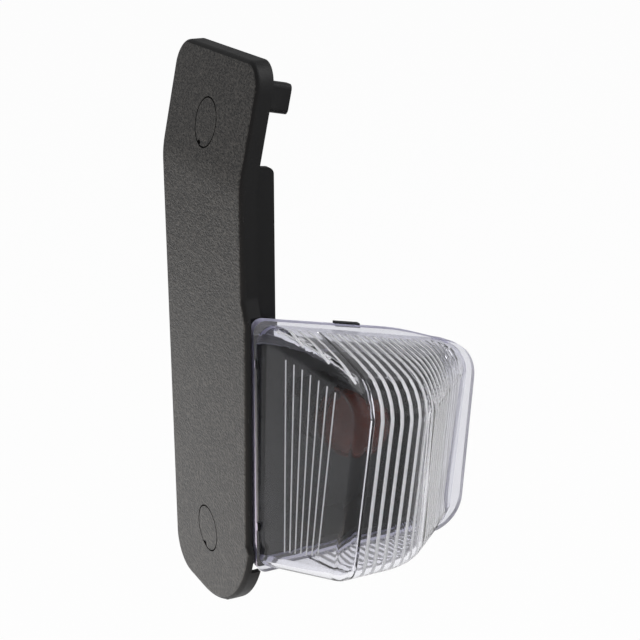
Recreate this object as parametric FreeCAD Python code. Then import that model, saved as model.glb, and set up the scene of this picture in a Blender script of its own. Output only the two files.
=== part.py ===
"""Side marker lamp for the front corner of a truck cab.

A bracket plate lies along the side of the cab, with its upper end leaning
inboard. A black housing stands square to the plate behind a clear lens with
flutes moulded inside. An amber bulb sits in a twist-in holder.

Frame: X points inboard, away from the plate's grained face, Y points to the
rear of the vehicle and Z points up. The origin is the mouth of the lower
screw hole, on the mounting plane. Sizes are in millimetres.
"""
import FreeCAD
import Part
import math
import os
from FreeCAD import Vector

# Screw places and caps
SCREW_HOLE_R = 3.3
BOSS_FLOOR = 2.8
HEAD_SPACE_R = 7.2
HEAD_SPACE_DEPTH = 4.4
BOSS_WALL = 1.8
CAP_R = 8.5
CAP_THICK = 1.8
CAP_CLEARANCE = 0.55
CAP_SKIRT_DEPTH = 2.4
CAP_SKIRT_WALL = 1.2
CAP_NOTCH_R = 1.3
CAP_NOTCH_ANGLE = 250.0
UPPER_SCREW_ABOVE_BEND = 16.0

# Bracket plate, outline seen from the grained side
PLATE_WALL = 2.2
PLATE_RETURN = 6.0
PLATE_HALF_WIDTH = 36.0
PLATE_REAR_TAPER = 2.4
PLATE_BEND_Z = 140.4
PLATE_BEND_R = 45.0
PLATE_LEAN_DEG = 11.6
PLATE_LEAN_LENGTH = 41.4
PLATE_TOP_CORNER_R = 10.0
PLATE_HEEL_R = 14.0
PLATE_TOE_R = 46.0
PLATE_TOE_LEAN_DEG = 17.5
PLATE_TOE_STRAIGHT = 3.1
PLATE_EDGE_R = 2.0
SHOULDER_OUT = 2.8
SHOULDER_RUN = 7.0
SHOULDER_R = 5.0
WAIST_OUT = 0.6
NOTCH_Z = 6.5
NOTCH_RUN = 2.6
NOTCH_R = 1.0
RIB_THICK = 1.6
RIB_DROP = 1.0
RIB_Y = 15.0
RIB_FIRST_Z = 22.0
RIB_PITCH = 36.0
RIB_ROWS = 4

# Locating peg near the top
PEG_WIDTH = 7.0
PEG_HEIGHT = 10.5
PEG_REACH = 19.0
PEG_ABOVE_BEND = 30.0
PEG_Y = -20.0
PEG_R = 2.0

# Front flange of the bracket
FLANGE_THICK = 2.5
FLANGE_X = 5.2
FLANGE_TOP_Z = 147.2
FLANGE_TOP_FALL = 1.6
FLANGE_CORNER_R = 2.5
FLANGE_BOTTOM_Z = 0.5

# Lens
LENS_WALL = 2.2
LENS_DEPTH = 48.6
LENS_FLANGE_THICK = 2.0
LENS_FRAME = 1.5
LENS_LEFT_X = -4.6
LENS_BOTTOM_Z = -1.0
LENS_TOP_LEFT_Z = 93.6
LENS_TOP_MIDDLE_X = 52.0
LENS_TOP_MIDDLE_DROP = 12.4
LENS_TOP_RIGHT_DROP = 12.5
LENS_TOP_R = 100.0
LENS_FRONT_LEFT_X = 11.0
LENS_FRONT_RIGHT_X = 37.0
LENS_DIAGONAL_DEG = 46.0
LENS_DIAGONAL_R = 24.0
LENS_CONTOUR_Z = 72.0
LENS_LEAN_DEG = 7.0
LENS_SIDE_LEAN_DEG = -1.0
LENS_ROOF_R = 150.0
LENS_ROOF_FALL_DEG = 13.2
LENS_FLOOR_DEG = 12.5
LENS_SHOULDER_R = 14.0
LENS_FOOT_R = 11.0
LENS_LEFT_R = 6.0
LENS_OVERRUN = 10.0
LENS_EDGE_FLANGE = 1.0
LENS_FLANGE_LEFT_R = 4.0
LENS_FLANGE_TOP_X = 85.0
LENS_FLANGE_TOP_R = 15.0
LENS_FLANGE_LOW_X = 79.6
LENS_FLANGE_LOW_R = 14.0
NUB_HEIGHTS = (17.0, 79.0)
NUB_WIDTH = 1.2
NUB_OUT = 0.8
NUB_LENGTH = 3.0

# Flutes inside the lens
FLUTE_PITCH = 3.8
FLUTE_FIRST_X = 16.5
FLUTE_COUNT = 19
FLUTE_RIM_GAP = 3.0
FLUTE_TIP = 0.05
FLUTE_BASE = 1.4
FLUTE_HEIGHT = 0.7
FLUTE_ROOT = 0.8
FLUTE_SAMPLE = 0.5
FLUTE_STEP = 30.0
FLUTE_STEP_DEG = 26.0
SIDE_FLUTE_PITCH = 3.8
SIDE_FLUTE_FIRST = 13.0
SIDE_FLUTE_COUNT = 7
SIDE_FLUTE_BASE = 0.6
SIDE_FLUTE_HEIGHT = 0.4
SIDE_FLUTE_ROOT = 0.4

# Lamp housing behind the lens
HOUSING_RIM = 2.0
HOUSING_LIP = 0.6
HOUSING_CLEARANCE = 0.4
HOUSING_OVERLAP = 3.0
HOUSING_R = 8.0
HOUSING_LEFT_R = 3.0
HOUSING_LOW_RISE = 0.5
HOUSING_LOW_X = 73.0
HOUSING_HIGH_X = 77.5
HOUSING_HIGH_DROP = 24.5
HOUSING_STEP_X = 22.0
HOUSING_STEP_DROP = 13.0
HOUSING_LEFT_DROP = 4.0
POCKET_MOUTH = (8.0, 5.0, 66.0, 69.5)
POCKET_BACK = (11.5, 9.0, 62.5, 68.0)
POCKET_R = 7.0
POCKET_DEPTH = 17.0
POCKET_WALL = 2.0
POST_X = -0.8
POST_HEIGHTS = (14.0, 47.0, 80.0)
POST_R = 3.2
POST_CLEARANCE = 0.3
POST_PILOT_R = 1.7

# Clip over the top edge of the lens's frame
CLIP_X = (26.0, 38.0)
CLIP_THICK = 1.2
CLIP_REACH = 2.2

# Lens gasket in a groove of the housing
GASKET_INSET = 1.2
GASKET_WIDTH = 1.4
GASKET_DEPTH = 0.9

# Screws that hold the housing
SCREW_HEAD_R = 4.0
SCREW_HEAD_THICK = 2.2
SCREW_SHANK_R = 1.4
SCREW_SHANK_LENGTH = 3.6
SCREW_CROSS_LENGTH = 4.4
SCREW_CROSS_WIDTH = 0.9
SCREW_CROSS_DEPTH = 1.3

# Bulb holder, twisted into the housing's back wall
BULB_X = 31.0
BULB_Z = 52.0
FIT_GAP = 0.3
SEAL_THICK = 1.2
SEAL_WIDTH = 3.0
HOLDER_R = 11.2
HOLDER_FRONT = 12.0
HOLDER_FLANGE_R = 17.0
HOLDER_FLANGE_THICK = 3.0
HOLDER_REAR_R = 10.4
HOLDER_REAR_LENGTH = 14.8
HOLDER_END_WALL = 3.0
HOLDER_LEDGE_DEPTH = 6.0
HOLDER_CHAMBER_R = 6.3
LUG_COUNT = 3
LUG_R = 14.2
LUG_WIDTH = 9.0
LUG_THICK = 2.2
GRIP_REACH = 15.5
GRIP_THICK = 2.4
GRIP_LENGTH = 11.0
SHELL_WALL = 0.3
SHELL_FLOOR = 0.4
SHELL_FLOOR_R = 4.5

# Bulb with a bayonet cap
BULB_CAP_R = 7.4
BULB_CAP_WALL = 0.4
BULB_CAP_LENGTH = 16.0
BULB_SEAT = 3.4
BULB_PIN_R = 1.0
BULB_PIN_REACH = 8.9
BULB_PIN_BACK = 8.0
BULB_PIN_SLOT = 2.8
INSULATOR_THICK = 1.4
CONTACT_R = 2.3
CONTACT_THICK = 1.6
BULB_BALL_R = 12.0
BULB_BALL_STEPS = 12
BULB_NECK_R = 6.7
BULB_NECK_LENGTH = 6.0
BULB_BALL_AHEAD = 20.0

# Spade terminals
BLADE_WIDTH = 6.3
BLADE_THICK = 0.8
BLADE_X = 3.5
BLADE_OUT = 8.0
BLADE_ROOT = 3.0
BLADE_SLOT_GAP = 0.2
LEAF_THICK = 0.5
LEAF_WIDTH = 4.0
LEAF_REACH = 1.8
EARTH_LEG_X = 5.8
EARTH_LEG_WIDTH = 2.4
EARTH_LEG_THICK = 0.6

# Derived places
PLATE_FACE_X = -(CAP_THICK + HEAD_SPACE_DEPTH + BOSS_FLOOR)
TOE_LEAN = math.radians(PLATE_TOE_LEAN_DEG)
TOE_SETBACK = PLATE_TOE_R / math.tan((math.pi / 2 + TOE_LEAN) / 2)
PLATE_BOTTOM_Z = NOTCH_Z - (TOE_SETBACK + PLATE_TOE_STRAIGHT) * math.cos(TOE_LEAN)
LEAN = math.radians(PLATE_LEAN_DEG)
X_AXIS = Vector(1, 0, 0)
Y_AXIS = Vector(0, 1, 0)
Z_AXIS = Vector(0, 0, 1)
LENS_RIM_Y = -PLATE_HALF_WIDTH
LENS_FRONT_Y = LENS_RIM_Y - LENS_DEPTH
LENS_TOP_MIDDLE_Z = LENS_TOP_LEFT_Z - LENS_TOP_MIDDLE_DROP
LENS_TOP_RIGHT_Z = LENS_TOP_MIDDLE_Z - LENS_TOP_RIGHT_DROP
HOUSING_Y = LENS_RIM_Y + LENS_FRAME
FLANGE_Y = HOUSING_Y + HOUSING_RIM
POCKET_Y = LENS_RIM_Y + POCKET_DEPTH
SEAL_Y = POCKET_Y + POCKET_WALL
HOLDER_Y = SEAL_Y + SEAL_THICK
HOLDER_REAR_Y = HOLDER_Y + HOLDER_FLANGE_THICK
HOLDER_END_Y = HOLDER_REAR_Y + HOLDER_REAR_LENGTH
HOLDER_FRONT_Y = POCKET_Y - HOLDER_FRONT
LEDGE_Y = HOLDER_END_Y - HOLDER_END_WALL - HOLDER_LEDGE_DEPTH
SHELL_R = BULB_CAP_R + FIT_GAP + SHELL_WALL
HOLDER_BORE_R = SHELL_R + FIT_GAP
CONTACT_Y = LEDGE_Y - BULB_SEAT
INSULATOR_Y = CONTACT_Y - CONTACT_THICK
BULB_CAP_Y = INSULATOR_Y - INSULATOR_THICK
FAR = 200.0
DEEP = 40.0


def rounded_wire(corners, place):
    """Closed wire through corners (a, b, radius); place maps (a, b) to a point."""
    points = [place(a, b) for a, b, _ in corners]
    edges = []
    ends = []
    for i, (_, _, radius) in enumerate(corners):
        before = points[i - 1]
        here = points[i]
        after = points[(i + 1) % len(points)]
        to_before = (before - here).normalize()
        to_after = (after - here).normalize()
        half = to_before.getAngle(to_after) / 2
        if radius <= 0:
            ends.append((here, here, None))
            continue
        setback = radius / math.tan(half)
        bisector = (to_before + to_after).normalize()
        middle = here + bisector * (radius / math.sin(half) - radius)
        ends.append((here + to_before * setback, here + to_after * setback, middle))
    for i, (start, stop, middle) in enumerate(ends):
        previous = ends[i - 1][1]
        if previous.distanceToPoint(start) > 1e-6:
            edges.append(Part.makeLine(previous, start))
        if middle is not None:
            edges.append(Part.Arc(start, middle, stop).toShape())
    return Part.Wire(Part.__sortEdges__(edges))


def side_point(a, b):
    """Point of an outline seen from the plate's side: a along Y, b along Z."""
    return Vector(0, a, b)


def front_point(a, b):
    """Point of an outline seen from the front: a along X, b along Z."""
    return Vector(a, 0, b)


def plan_point(a, b):
    """Point of an outline seen from above: a along X, b along Y."""
    return Vector(a, b, 0)


def prism(wire, start, direction):
    """Solid swept from a planar wire, moved by start, along direction."""
    face = Part.Face(wire)
    face.translate(start)
    return face.extrude(direction)


def plate_corners():
    """Outline of the bracket plate as corners with their radii."""
    top_z = PLATE_BEND_Z + PLATE_LEAN_LENGTH * math.cos(LEAN)
    rear_low = PLATE_HALF_WIDTH - PLATE_REAR_TAPER
    shoulder = PLATE_HALF_WIDTH + SHOULDER_OUT
    lens_top = LENS_TOP_LEFT_Z + LENS_EDGE_FLANGE
    toe = (NOTCH_Z - PLATE_BOTTOM_Z) * math.tan(TOE_LEAN) - shoulder
    return [
        (PLATE_HALF_WIDTH, top_z, PLATE_TOP_CORNER_R),
        (PLATE_HALF_WIDTH, PLATE_BEND_Z, 0),
        (rear_low, PLATE_BOTTOM_Z, PLATE_HEEL_R),
        (toe, PLATE_BOTTOM_Z, PLATE_TOE_R),
        (-shoulder, NOTCH_Z, NOTCH_R),
        (-PLATE_HALF_WIDTH - WAIST_OUT, NOTCH_Z + NOTCH_RUN, NOTCH_R),
        (-shoulder, lens_top, SHOULDER_R),
        (-PLATE_HALF_WIDTH, lens_top + SHOULDER_RUN, SHOULDER_R),
        (-PLATE_HALF_WIDTH, top_z, PLATE_TOP_CORNER_R),
    ]


def bent_slab(inner, outer, half_width):
    """Layer of the plate between two depths behind its grained face, bent at the top."""
    low = PLATE_BOTTOM_Z - PLATE_HALF_WIDTH
    tangent = math.tan(LEAN / 2)
    along = Vector(math.sin(LEAN), 0, math.cos(LEAN))
    length = PLATE_LEAN_LENGTH + PLATE_HALF_WIDTH

    def track(depth):
        """Line, arc and line of the bent plate at one depth."""
        x = PLATE_FACE_X + depth
        bend = Vector(x, 0, PLATE_BEND_Z - depth * tangent)
        radius = PLATE_BEND_R - depth
        first = bend - Z_AXIS * (radius * tangent)
        last = bend + along * (radius * tangent)
        lift = radius * (1 / math.cos(LEAN / 2) - 1)
        inward = Vector(math.cos(LEAN / 2), 0, -math.sin(LEAN / 2))
        middle = bend + inward * lift
        return Vector(x, 0, low), first, middle, last, bend + along * length

    a0, a1, am, a2, a3 = track(inner)
    b0, b1, bm, b2, b3 = track(outer)
    edges = [
        Part.makeLine(a0, a1),
        Part.Arc(a1, am, a2).toShape(),
        Part.makeLine(a2, a3),
        Part.makeLine(a3, b3),
        Part.makeLine(b3, b2),
        Part.Arc(b2, bm, b1).toShape(),
        Part.makeLine(b1, b0),
        Part.makeLine(b0, a0),
    ]
    return prism(Part.Wire(edges), Vector(0, -half_width, 0), Y_AXIS * (2 * half_width))


def leaning(shape):
    """Turn a shape built at the lower screw so that it stands on the leaning end."""
    turned = shape.copy()
    turned.translate(Vector(-PLATE_FACE_X, 0, 0))
    turned.rotate(Vector(0, 0, 0), Y_AXIS, PLATE_LEAN_DEG)
    turned.translate(Vector(PLATE_FACE_X, 0, PLATE_BEND_Z))
    return turned


def at_upper_screw(shape):
    """Place a shape built at the lower screw at the upper one."""
    raised = shape.copy()
    raised.translate(Z_AXIS * UPPER_SCREW_ABOVE_BEND)
    return leaning(raised)


def screw_boss():
    """Turret round a screw: its outside, and the stepped hole through it."""
    recess_r = CAP_R + CAP_CLEARANCE
    face = Vector(PLATE_FACE_X, 0, 0)
    outside = Part.makeCylinder(recess_r + BOSS_WALL, -PLATE_FACE_X, face, X_AXIS)
    recess = Part.makeCylinder(recess_r, CAP_THICK, face, X_AXIS)
    head = Part.makeCylinder(HEAD_SPACE_R, CAP_THICK + HEAD_SPACE_DEPTH, face, X_AXIS)
    hole = Part.makeCylinder(SCREW_HOLE_R, -PLATE_FACE_X, face, X_AXIS)
    return outside, recess.fuse([head, hole])


def screw_cap():
    """Flush plastic cap with a short skirt and a pry notch in its edge."""
    face = Vector(PLATE_FACE_X, 0, 0)
    skirt_r = HEAD_SPACE_R - CAP_CLEARANCE
    disc = Part.makeCylinder(CAP_R, CAP_THICK, face, X_AXIS)
    skirt = Part.makeCylinder(skirt_r, CAP_THICK + CAP_SKIRT_DEPTH, face, X_AXIS)
    inside = Part.makeCylinder(
        skirt_r - CAP_SKIRT_WALL, CAP_SKIRT_DEPTH, face + X_AXIS * CAP_THICK, X_AXIS
    )
    angle = math.radians(CAP_NOTCH_ANGLE)
    notch_place = face + Vector(0, -math.cos(angle), math.sin(angle)) * CAP_R
    notch = Part.makeCylinder(CAP_NOTCH_R, CAP_THICK / 2, notch_place, X_AXIS)
    return disc.fuse(skirt).cut(inside).cut(notch)


def middle_normal(face):
    """Outward normal in the middle of a face."""
    u0, u1, v0, v1 = face.ParameterRange
    return face.normalAt((u0 + u1) / 2, (v0 + v1) / 2)


def is_grained(face):
    """True for a face on the outer side of the plate."""
    return middle_normal(face).x < -math.cos(2 * LEAN)


def edges_between(solid, first, second):
    """Edges of a solid where a face that passes first meets one that passes second."""
    found = []
    for edge in solid.Edges:
        faces = solid.ancestorsOfType(edge, Part.Face)
        if any(first(f) for f in faces) and any(second(f) for f in faces):
            found.append(edge)
    return found


def plate_ribs(blank):
    """Stiffening ribs behind the plate, between the screw turrets."""
    layer = bent_slab(PLATE_WALL / 2, PLATE_RETURN - RIB_DROP, FAR)
    walls = []
    for y in (-RIB_Y, RIB_Y):
        place = Vector(-FAR, y - RIB_THICK / 2, -FAR)
        walls.append(Part.makeBox(2 * FAR, RIB_THICK, 3 * FAR, place))
    for i in range(RIB_ROWS):
        z = RIB_FIRST_Z + i * RIB_PITCH - RIB_THICK / 2
        walls.append(Part.makeBox(2 * FAR, 2 * FAR, RIB_THICK, Vector(-FAR, -FAR, z)))
    grid = walls[0].fuse(walls[1:])
    return grid.common(layer).common(blank)


def peg():
    """Locating peg behind the leaning end, square to it."""
    start = PLATE_FACE_X + PLATE_WALL / 2
    length = PEG_REACH - PLATE_WALL / 2
    half_w = PEG_WIDTH / 2
    half_h = PEG_HEIGHT / 2
    corners = [
        (PEG_Y - half_w, PEG_ABOVE_BEND - half_h, PEG_R),
        (PEG_Y + half_w, PEG_ABOVE_BEND - half_h, PEG_R),
        (PEG_Y + half_w, PEG_ABOVE_BEND + half_h, PEG_R),
        (PEG_Y - half_w, PEG_ABOVE_BEND + half_h, PEG_R),
    ]
    return leaning(prism(rounded_wire(corners, side_point), X_AXIS * start, X_AXIS * length))


def front_flange():
    """Wall square to the plate, behind the housing and above it."""
    corners = [
        (PLATE_FACE_X, FLANGE_BOTTOM_Z, 0),
        (FLANGE_X, FLANGE_BOTTOM_Z, FLANGE_CORNER_R),
        (FLANGE_X, FLANGE_TOP_Z - FLANGE_TOP_FALL, FLANGE_CORNER_R),
        (PLATE_FACE_X, FLANGE_TOP_Z, 0),
    ]
    wire = rounded_wire(corners, front_point)
    wall = prism(wire, Y_AXIS * FLANGE_Y, Y_AXIS * FLANGE_THICK)
    for z in POST_HEIGHTS:
        place = Vector(POST_X, FLANGE_Y, z)
        hole = Part.makeCylinder(POST_R + POST_CLEARANCE, FLANGE_THICK, place, Y_AXIS)
        wall = wall.cut(hole)
    return wall.common(bent_slab(PLATE_WALL / 2, DEEP, FAR))


def bracket():
    """Bent plate with a return edge, ribs, screw turrets, peg and front flange."""
    outline = rounded_wire(plate_corners(), side_point)
    blank = prism(outline, X_AXIS * -FAR, X_AXIS * (2 * FAR))
    body = blank.common(bent_slab(0, PLATE_RETURN, FAR)).Solids[0]
    rim = edges_between(body, is_grained, lambda face: not is_grained(face))
    body = body.makeFillet(PLATE_EDGE_R, rim)
    inset = Part.Face(outline).makeOffset2D(-PLATE_WALL)
    inset.translate(X_AXIS * -FAR)
    hollow = inset.extrude(X_AXIS * (2 * FAR))
    body = body.cut(hollow.common(bent_slab(PLATE_WALL, DEEP, FAR)))

    gap_low = LENS_BOTTOM_Z - LENS_EDGE_FLANGE - HOUSING_LIP - HOUSING_CLEARANCE
    gap_high = LENS_TOP_LEFT_Z + LENS_EDGE_FLANGE + HOUSING_LIP + HOUSING_CLEARANCE
    gap_place = Vector(PLATE_FACE_X + PLATE_WALL, -FAR, gap_low)
    gap = Part.makeBox(FAR, FAR + FLANGE_Y, gap_high - gap_low, gap_place)
    body = body.cut(gap)

    outside, hole = screw_boss()
    upper_hole = at_upper_screw(hole)
    added = [plate_ribs(blank).cut(gap), outside, at_upper_screw(outside), peg(), front_flange()]
    body = body.fuse(added)
    return body.cut([hole, upper_hole]).removeSplitter()


def lens_left_way():
    """Direction of the left wall, from the rim to the front."""
    return Vector(LENS_FRONT_LEFT_X - LENS_LEFT_X, LENS_FRONT_Y - lens_face_y(), 0).normalize()


def lens_slant():
    """Direction of the front-left corner and the flutes, for each millimetre of height."""
    left = lens_left_way()
    forward = left * (math.tan(math.radians(LENS_LEAN_DEG)) / -left.y)
    return forward + Z_AXIS


def lens_face_y():
    """Front face of the lens's flange."""
    return LENS_RIM_Y - LENS_FLANGE_THICK


def lens_plan_corners():
    """Plan outline of the front and diagonal walls at LENS_CONTOUR_Z."""
    back = LENS_RIM_Y + LENS_OVERRUN
    diagonal = math.tan(math.radians(LENS_DIAGONAL_DEG))
    right_back = LENS_FRONT_RIGHT_X + (back - LENS_FRONT_Y) / diagonal
    return [
        (LENS_LEFT_X - DEEP, back, 0),
        (LENS_LEFT_X - DEEP, LENS_FRONT_Y, 0),
        (LENS_FRONT_RIGHT_X, LENS_FRONT_Y, 0),
        (right_back, back, 0),
    ]


def lens_wall_run():
    """Direction of the front and diagonal walls, for each millimetre of height."""
    side = math.tan(math.radians(LENS_SIDE_LEAN_DEG))
    return Vector(side, -math.tan(math.radians(LENS_LEAN_DEG)), 1)


def lens_top_z(x):
    """Height of the lens's top edge on the rim plane, before its corners are rounded."""
    if x < LENS_TOP_MIDDLE_X:
        slope = (LENS_TOP_MIDDLE_Z - LENS_TOP_LEFT_Z) / (LENS_TOP_MIDDLE_X - LENS_LEFT_X)
        return LENS_TOP_LEFT_Z + (x - LENS_LEFT_X) * slope
    slope = (LENS_TOP_RIGHT_Z - LENS_TOP_MIDDLE_Z) / (LENS_FLANGE_TOP_X - LENS_TOP_MIDDLE_X)
    return LENS_TOP_MIDDLE_Z + (x - LENS_TOP_MIDDLE_X) * slope


def swept(corners, place, inset, start, run, radii):
    """Prism along run of an outline drawn in by inset, with the edges near given points rounded."""
    face = Part.Face(rounded_wire(corners, place))
    if inset > 0:
        face = face.makeOffset2D(-inset)
    face.translate(start)
    body = face.extrude(run)
    middle = start + run / 2
    for point, radius in radii:
        target = Part.Vertex(place(*point) + middle)
        edge = min(body.Edges, key=lambda e: e.distToShape(target)[0])
        body = body.makeFillet(radius - inset, [edge])
    return body


def lens_walls(inset):
    """Upright walls of the lens: a slanted prism behind the front, cut by the plane left wall."""
    run = lens_wall_run()
    radii = [((LENS_FRONT_RIGHT_X, LENS_FRONT_Y), LENS_DIAGONAL_R)]
    start = Z_AXIS * LENS_CONTOUR_Z - run * FAR
    walls = swept(lens_plan_corners(), plan_point, inset, start, run * (2 * FAR), radii)
    along = lens_left_way()
    inward = Vector(-along.y, along.x, 0)
    corner = Vector(LENS_LEFT_X, lens_face_y(), -FAR) + inward * inset
    ends = [corner - along * FAR, corner + along * FAR]
    far_ends = [end + inward * FAR for end in reversed(ends)]
    right_of_left = Part.Face(Part.makePolygon(ends + far_ends + ends[:1])).extrude(Z_AXIS * (2 * FAR))
    return walls.common(right_of_left)


def lens_roof(inset):
    """Everything below the lens's roof: an arc to the front that falls to the right."""
    fall = math.tan(math.radians(LENS_ROOF_FALL_DEG))
    radius = LENS_ROOF_R - inset * math.hypot(1, fall)
    centre = Vector(LENS_LEFT_X, LENS_RIM_Y, LENS_TOP_LEFT_Z - LENS_ROOF_R)
    reach = LENS_ROOF_R / 2
    side = math.sqrt(radius ** 2 - reach ** 2)
    front = centre + Vector(0, -reach, side)
    back = centre + Vector(0, reach, side)
    low = Z_AXIS * -FAR
    edges = [
        Part.Arc(front, centre + Z_AXIS * radius, back).toShape(),
        Part.makeLine(back, back + low),
        Part.makeLine(back + low, front + low),
        Part.makeLine(front + low, front),
    ]
    run = Vector(1, 0, -fall)
    return prism(Part.Wire(edges), run * -DEEP, run * (FAR + DEEP))


def lens_floor(inset):
    """Everything above the lens's floor, which rises to the front."""
    run = Vector(0, -1, math.tan(math.radians(LENS_FLOOR_DEG)))
    corners = [
        (-FAR, LENS_BOTTOM_Z, 0),
        (FAR, LENS_BOTTOM_Z, 0),
        (FAR, 2 * FAR, 0),
        (-FAR, 2 * FAR, 0),
    ]
    start = Y_AXIS * LENS_RIM_Y - run * FAR
    drawn_in = inset / math.cos(math.radians(LENS_FLOOR_DEG))
    return swept(corners, front_point, drawn_in, start, run * (2 * FAR), [])


def lens_body(inset):
    """Lens as a full solid with sharp top and foot edges, drawn in by inset."""
    return lens_walls(inset).common(lens_roof(inset)).common(lens_floor(inset)).Solids[0]


def rounded_lens_body(inset):
    """Lens as a full solid with rounded edges, drawn in by inset and cut off at its rim."""
    body = lens_body(inset)
    run = lens_wall_run()
    along = lens_left_way()
    left = Vector(along.y, -along.x, 0)

    def is_left(face):
        """True for the left wall."""
        return middle_normal(face).dot(left) > 0.999

    def is_front(face):
        """True for a face of the front and diagonal walls, which run along the slant."""
        normal = middle_normal(face)
        return abs(normal.dot(run)) < 1e-4 and normal.y < -0.1 and not is_left(face)

    def is_roof(face):
        """True for the roof."""
        return middle_normal(face).z > 0.8

    def is_floor(face):
        """True for the floor."""
        return middle_normal(face).z < -0.9

    def is_rounded(face):
        """True for any face but the left wall and the cut at the back."""
        return not is_left(face) and middle_normal(face).y < 0.9

    body = body.makeFillet(LENS_FOOT_R - inset, edges_between(body, is_front, is_floor))
    body = body.makeFillet(LENS_SHOULDER_R - inset, edges_between(body, is_front, is_roof))
    body = body.makeFillet(LENS_LEFT_R - inset, edges_between(body, is_left, is_rounded))
    front = Part.makeBox(2 * FAR, FAR, 2 * FAR, Vector(-FAR, LENS_RIM_Y - FAR, -FAR))
    return body.common(front)


def lens_flange(grow):
    """Outline of the lens's flange on its back plane, grown by a margin."""
    left = LENS_LEFT_X - LENS_EDGE_FLANGE
    low = LENS_BOTTOM_Z - LENS_EDGE_FLANGE
    corners = [
        (left, low, LENS_FLANGE_LEFT_R),
        (LENS_FLANGE_LOW_X, low, LENS_FLANGE_LOW_R),
        (LENS_FLANGE_TOP_X, lens_top_z(LENS_FLANGE_TOP_X) + LENS_EDGE_FLANGE, LENS_FLANGE_TOP_R),
        (LENS_TOP_MIDDLE_X, LENS_TOP_MIDDLE_Z + LENS_EDGE_FLANGE, LENS_TOP_R),
        (left, lens_top_z(left) + LENS_EDGE_FLANGE, LENS_FLANGE_LEFT_R),
    ]
    face = Part.Face(rounded_wire(corners, front_point))
    if grow != 0:
        face = face.makeOffset2D(grow)
    face.translate(Y_AXIS * LENS_RIM_Y)
    return face


def lens_section(body, x):
    """Points from the roof down to the floor where the slanted plane through x cuts a lens body."""
    normal = Vector(1, 0, -lens_slant().x).normalize()
    limit = lens_face_y() - FLUTE_RIM_GAP
    wire = body.slice(normal, normal.dot(Vector(x, 0, LENS_CONTOUR_Z)))[0]
    ring = wire.discretize(Distance=FLUTE_SAMPLE)
    first = max(range(len(ring)), key=lambda i: ring[i].y)
    ring = ring[first:] + ring[:first] + ring[first:first + 1]
    points = []
    for before, after in zip(ring, ring[1:]):
        if (before.y < limit) != (after.y < limit):
            share = (limit - before.y) / (after.y - before.y)
            points.append(before + (after - before) * share)
        if after.y < limit:
            points.append(after)
    if points[0].z < points[-1].z:
        points.reverse()
    return points


def walked(points):
    """Distance along a row of points, up to each of them."""
    found = [0.0]
    for before, after in zip(points, points[1:]):
        found.append(found[-1] + before.distanceToPoint(after))
    return found


def flute_shares(points):
    """Shares of the length of a section, closer together where it bends."""
    lengths = walked(points)
    effort = [0.0]
    for i in range(1, len(points)):
        step = lengths[i] - lengths[i - 1]
        cost = step / FLUTE_STEP
        if 1 < i and step > 0.01:
            turn = (points[i] - points[i - 1]).getAngle(points[i - 1] - points[i - 2])
            cost += math.degrees(turn) / FLUTE_STEP_DEG
        effort.append(effort[-1] + cost)
    count = max(2, round(effort[-1]))
    shares = []
    for k in range(count + 1):
        wanted = effort[-1] * k / count
        nearest = min(range(len(points)), key=lambda i: abs(effort[i] - wanted))
        shares.append(lengths[nearest] / lengths[-1])
    return shares


def at_shares(points, shares):
    """Points at the given shares of the length of a row of points."""
    lengths = walked(points)
    found = []
    for share in shares:
        wanted = share * lengths[-1]
        i = next(k for k in range(1, len(points)) if lengths[k] >= wanted - 1e-9)
        part = (wanted - lengths[i - 1]) / (lengths[i] - lengths[i - 1])
        found.append(points[i - 1] + (points[i] - points[i - 1]) * part)
    return found


def flute_place(i):
    """Place along X of one flute, at even steps along the walls, and the share of its width there."""
    turn = math.radians(LENS_DIAGONAL_DEG)
    arc_x = LENS_FRONT_RIGHT_X - LENS_DIAGONAL_R * math.tan(turn / 2)
    along = FLUTE_FIRST_X + i * FLUTE_PITCH - arc_x
    if along <= 0:
        return arc_x + along, 1.0
    angle = min(along / LENS_DIAGONAL_R, turn)
    rest = along - angle * LENS_DIAGONAL_R
    return arc_x + LENS_DIAGONAL_R * math.sin(angle) + rest * math.cos(turn), math.cos(angle)


def front_flutes():
    """Ridges inside the lens, from the roof down the front to the floor, which follow its inside."""
    root = rounded_lens_body(LENS_WALL - FLUTE_ROOT)
    edge = rounded_lens_body(LENS_WALL + FLUTE_TIP)
    crest = rounded_lens_body(LENS_WALL + FLUTE_HEIGHT)
    flutes = []
    for i in range(FLUTE_COUNT):
        x, share = flute_place(i)
        half = FLUTE_BASE * share / 2
        shares = flute_shares(lens_section(crest, x))
        sections = []
        for place, inside in ((x - half, edge), (x, crest), (x + half, edge)):
            outer = at_shares(lens_section(root, place), shares)
            inner = at_shares(lens_section(inside, place), shares)
            corners = outer + inner[::-1]
            sections.append(Part.makePolygon(corners + corners[:1]))
        flutes.append(Part.makeLoft(sections, True, True))
    return flutes


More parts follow.
